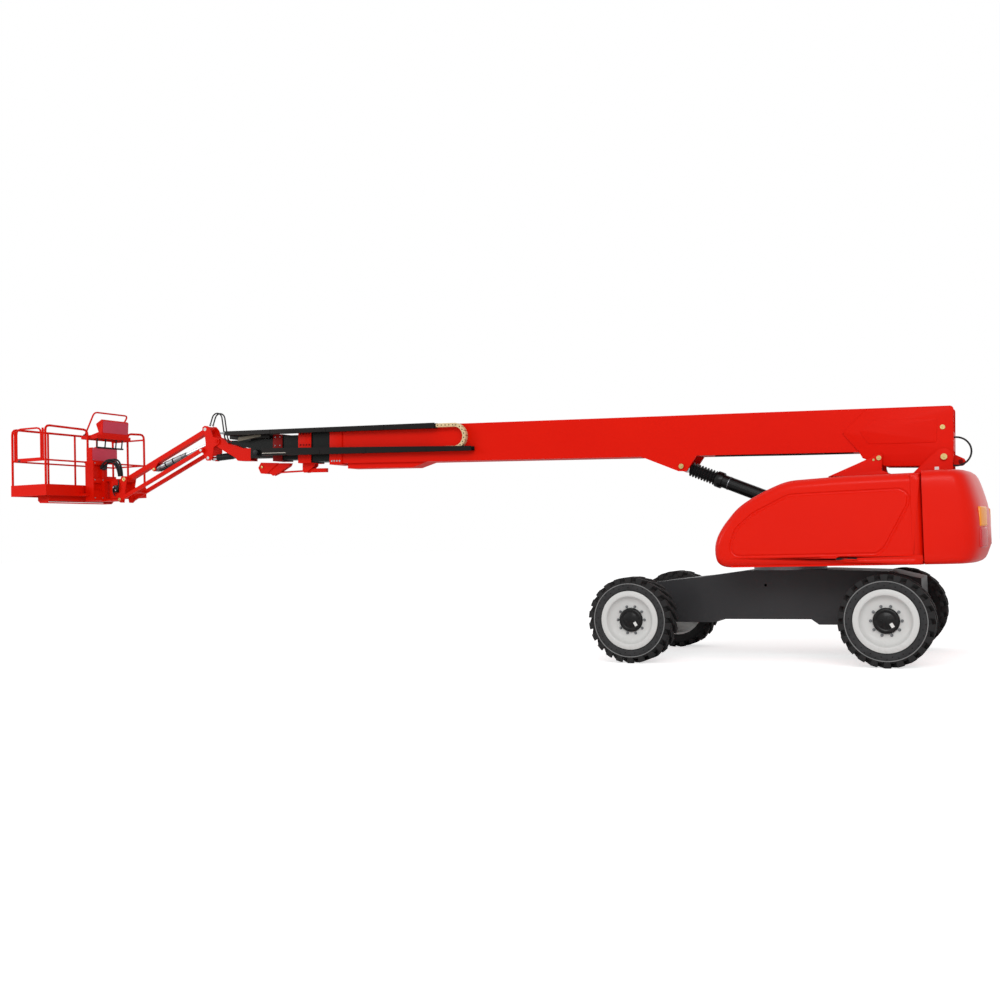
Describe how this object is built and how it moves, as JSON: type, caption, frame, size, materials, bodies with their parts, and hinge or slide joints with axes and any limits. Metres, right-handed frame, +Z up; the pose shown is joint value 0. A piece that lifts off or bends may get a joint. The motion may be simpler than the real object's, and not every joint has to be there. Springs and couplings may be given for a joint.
{
  "type": "self-propelled telescopic boom lift with jib",
  "caption": "Four-wheel self-propelled boom lift with a slewing turntable, telescopic boom, short jib and railed work platform.",
  "frame": {"origin": "on the ground below the middle of the machine's length and width", "axes": "+X along the boom towards the platform, +Y to the machine's left side, +Z up"},
  "size_m": [14.551, 2.49, 3.8979],
  "materials": {
    "chassis_paint": "satin",
    "bare_steel": "satin",
    "tyre": "matte",
    "rim_paint": "satin",
    "red_paint": "gloss",
    "red_iron": "gloss",
    "engine_metal": "matte",
    "red_hood": "gloss",
    "boom_grey": "satin",
    "tray_steel": "satin",
    "chain_plastic": "satin",
    "cylinder_black": "gloss",
    "rod_chrome": "polished",
    "hose_rubber": "satin",
    "floor_steel": "satin"
  },
  "bodies": {
    "chassis": {"chassis_frame": "chassis_paint", "slew_ring": "bare_steel", "front_axle": "chassis_paint", "rear_axle": "chassis_paint"},
    "knuckle_left": {"knuckle_left": "chassis_paint"},
    "knuckle_right": {"knuckle_right": "chassis_paint"},
    "wheel_front_left": {"tyre_front_left": "tyre", "rim_front_left": "rim_paint"},
    "wheel_front_right": {"tyre_front_right": "tyre", "rim_front_right": "rim_paint"},
    "wheel_rear_left": {"tyre_rear_left": "tyre", "rim_rear_left": "rim_paint"},
    "wheel_rear_right": {"tyre_rear_right": "tyre", "rim_rear_right": "rim_paint"},
    "turntable": {"turntable_frame": "red_paint", "counterweight": "red_iron", "engine_block": "engine_metal"},
    "hood_left": {"hood_left": "red_hood"},
    "hood_right": {"hood_right": "red_hood"},
    "boom_base": {"boom_base": "red_paint", "lower_tray": "tray_steel", "rear_hose": "hose_rubber"},
    "boom_second": {"boom_second": "boom_grey", "upper_tray": "tray_steel", "boom_stay": "red_paint"},
    "boom_third": {"boom_third": "boom_grey"},
    "boom_fly": {"boom_fly": "boom_grey", "boom_nose": "red_paint", "jib_hose_left": "hose_rubber", "jib_hose_right": "hose_rubber"},
    "hose_chain": {"hose_chain": "chain_plastic"},
    "lift_barrel": {"lift_barrel": "cylinder_black"},
    "lift_rod": {"lift_rod": "rod_chrome"},
    "master_barrel": {"master_barrel": "cylinder_black"},
    "master_rod": {"master_rod": "rod_chrome"},
    "level_barrel": {"level_barrel": "cylinder_black"},
    "level_rod": {"level_rod": "rod_chrome"},
    "jib_head": {"jib_head": "red_paint"},
    "jib_arm": {"jib_arm": "red_paint"},
    "jib_link": {"jib_link": "red_paint"},
    "jib_ram_barrel": {"jib_ram_barrel": "cylinder_black"},
    "jib_ram_rod": {"jib_ram_rod": "rod_chrome"},
    "platform_bracket": {"platform_bracket": "red_paint"},
    "platform": {"platform_mount": "red_paint", "platform_frame": "red_paint", "platform_floor": "floor_steel", "platform_console": "red_paint"},
    "platform_gate": {"platform_gate": "red_paint"}
  },
  "joints": [
    {"name": "slew", "type": "hinge", "parent": "chassis", "child": "turntable", "pos_m": [-4.9245, 0, 1.156], "axis": [0, 0, 1], "continuous": true},
    {"name": "hood_left_lift", "type": "hinge", "parent": "turntable", "child": "hood_left", "pos_m": [-4.6745, 0.405, 2.19], "axis": [1, 0, 0], "range_deg": [0, 65]},
    {"name": "hood_right_lift", "type": "hinge", "parent": "turntable", "child": "hood_right", "pos_m": [-4.6745, -0.405, 2.19], "axis": [-1, 0, 0], "range_deg": [0, 65]},
    {"name": "boom_lift", "type": "hinge", "parent": "turntable", "child": "boom_base", "pos_m": [-6.8075, 0, 2.398], "axis": [0, -1, 0], "range_deg": [0, 72]},
    {"name": "lift_barrel_swing", "type": "hinge", "parent": "turntable", "child": "lift_barrel", "pos_m": [-5.6245, 0, 1.6], "axis": [0, -1, 0], "range_deg": [-1, 72]},
    {"name": "lift_rod_slide", "type": "slide", "parent": "lift_barrel", "child": "lift_rod", "axis": [0.9205, 0, 0.3908], "range_m": [-0.02, 1.7]},
    {"name": "boom_extend", "type": "slide", "parent": "boom_base", "child": "boom_second", "axis": [0.9994, 0, 0.0342], "range_m": [0, 4]},
    {"name": "boom_extend_third", "type": "slide", "parent": "boom_second", "child": "boom_third", "axis": [0.9994, 0, 0.0342], "range_m": [-0.01, 4.05]},
    {"name": "boom_extend_fly", "type": "slide", "parent": "boom_third", "child": "boom_fly", "axis": [0.9994, 0, 0.0342], "range_m": [-0.01, 4.05]},
    {"name": "chain_roll", "type": "slide", "parent": "boom_base", "child": "hose_chain", "axis": [0.9994, 0, 0.0342], "range_m": [-0.01, 2.05]},
    {"name": "master_barrel_swing", "type": "hinge", "parent": "turntable", "child": "master_barrel", "pos_m": [-6.0545, 0, 2.38], "axis": [0, -1, 0], "range_deg": [-1, 12]},
    {"name": "master_rod_slide", "type": "slide", "parent": "master_barrel", "child": "master_rod", "axis": [-0.9993, 0, -0.0377], "range_m": [-0.17, 0.01]},
    {"name": "head_level", "type": "hinge", "parent": "boom_fly", "child": "jib_head", "pos_m": [3.9505, 0, 3.245], "axis": [0, -1, 0], "range_deg": [-73, 1]},
    {"name": "level_barrel_swing", "type": "hinge", "parent": "boom_fly", "child": "level_barrel", "pos_m": [2.6255, 0, 3.06], "axis": [0, -1, 0], "range_deg": [-2.5, 0.5]},
    {"name": "level_rod_slide", "type": "slide", "parent": "level_barrel", "child": "level_rod", "axis": [0.9989, 0, -0.0461], "range_m": [-0.37, 0.01]},
    {"name": "jib_lift", "type": "hinge", "parent": "jib_head", "child": "jib_arm", "pos_m": [4.1735, 0, 3.451], "axis": [0, -1, 0], "range_deg": [-35, 65]},
    {"name": "jib_link_swing", "type": "hinge", "parent": "jib_head", "child": "jib_link", "pos_m": [4.2285, 0, 3.119], "axis": [0, -1, 0], "range_deg": [-36, 66]},
    {"name": "bracket_level", "type": "hinge", "parent": "jib_arm", "child": "platform_bracket", "pos_m": [5.8605, 0, 2.732], "axis": [0, -1, 0], "range_deg": [-66, 36]},
    {"name": "jib_ram_swing", "type": "hinge", "parent": "jib_arm", "child": "jib_ram_barrel", "pos_m": [5.27501, 0, 2.87283], "axis": [0, -1, 0], "range_deg": [-5, 4]},
    {"name": "jib_ram_slide", "type": "slide", "parent": "jib_ram_barrel", "child": "jib_ram_rod", "axis": [-0.9513, 0, 0.3081], "range_m": [-0.14, 0.25]},
    {"name": "platform_turn", "type": "hinge", "parent": "platform_bracket", "child": "platform", "pos_m": [6.1255, 0, 2.6], "axis": [0, 0, 1], "range_deg": [-80, 80]},
    {"name": "gate_swing", "type": "hinge", "parent": "platform", "child": "platform_gate", "pos_m": [6.6305, 1.13, 3.3], "axis": [0, 0, -1], "range_deg": [0, 85]},
    {"name": "steer_left", "type": "hinge", "parent": "chassis", "child": "knuckle_left", "pos_m": [-3.1695, 0.7, 0.5285], "axis": [0, 0, 1], "range_deg": [-32, 32]},
    {"name": "steer_right", "type": "hinge", "parent": "chassis", "child": "knuckle_right", "pos_m": [-3.1695, -0.7, 0.5285], "axis": [0, 0, 1], "range_deg": [-33, 33]},
    {"name": "spin_front_left", "type": "hinge", "parent": "knuckle_left", "child": "wheel_front_left", "pos_m": [-3.1695, 1.0525, 0.5285], "axis": [0, 1, 0], "continuous": true},
    {"name": "spin_front_right", "type": "hinge", "parent": "knuckle_right", "child": "wheel_front_right", "pos_m": [-3.1695, -1.0525, 0.5285], "axis": [0, 1, 0], "continuous": true},
    {"name": "spin_rear_left", "type": "hinge", "parent": "chassis", "child": "wheel_rear_left", "pos_m": [-6.1795, 1.0525, 0.5285], "axis": [0, 1, 0], "continuous": true},
    {"name": "spin_rear_right", "type": "hinge", "parent": "chassis", "child": "wheel_rear_right", "pos_m": [-6.1795, -1.0525, 0.5285], "axis": [0, 1, 0], "continuous": true}
  ],
  "couplings": [
    {"joint": "lift_barrel_swing", "follows": "boom_lift", "ratio": 0.9734},
    {"joint": "lift_rod_slide", "follows": "boom_lift", "m_per_rad": 1.325},
    {"joint": "boom_extend_third", "follows": "boom_extend", "ratio": 1},
    {"joint": "boom_extend_fly", "follows": "boom_extend", "ratio": 1},
    {"joint": "chain_roll", "follows": "boom_extend", "ratio": 0.5},
    {"joint": "master_barrel_swing", "follows": "boom_lift", "ratio": 0.13546},
    {"joint": "master_rod_slide", "follows": "boom_lift", "m_per_rad": -0.12425},
    {"joint": "head_level", "follows": "boom_lift", "ratio": -1},
    {"joint": "level_barrel_swing", "follows": "boom_lift", "ratio": -0.022},
    {"joint": "level_rod_slide", "follows": "boom_lift", "m_per_rad": -0.28},
    {"joint": "jib_link_swing", "follows": "jib_lift", "ratio": 1},
    {"joint": "bracket_level", "follows": "jib_lift", "ratio": -1},
    {"joint": "jib_ram_swing", "follows": "jib_lift", "ratio": -0.03832},
    {"joint": "jib_ram_slide", "follows": "jib_lift", "m_per_rad": 0.19844},
    {"joint": "steer_right", "follows": "steer_left", "ratio": 1}
  ]
}
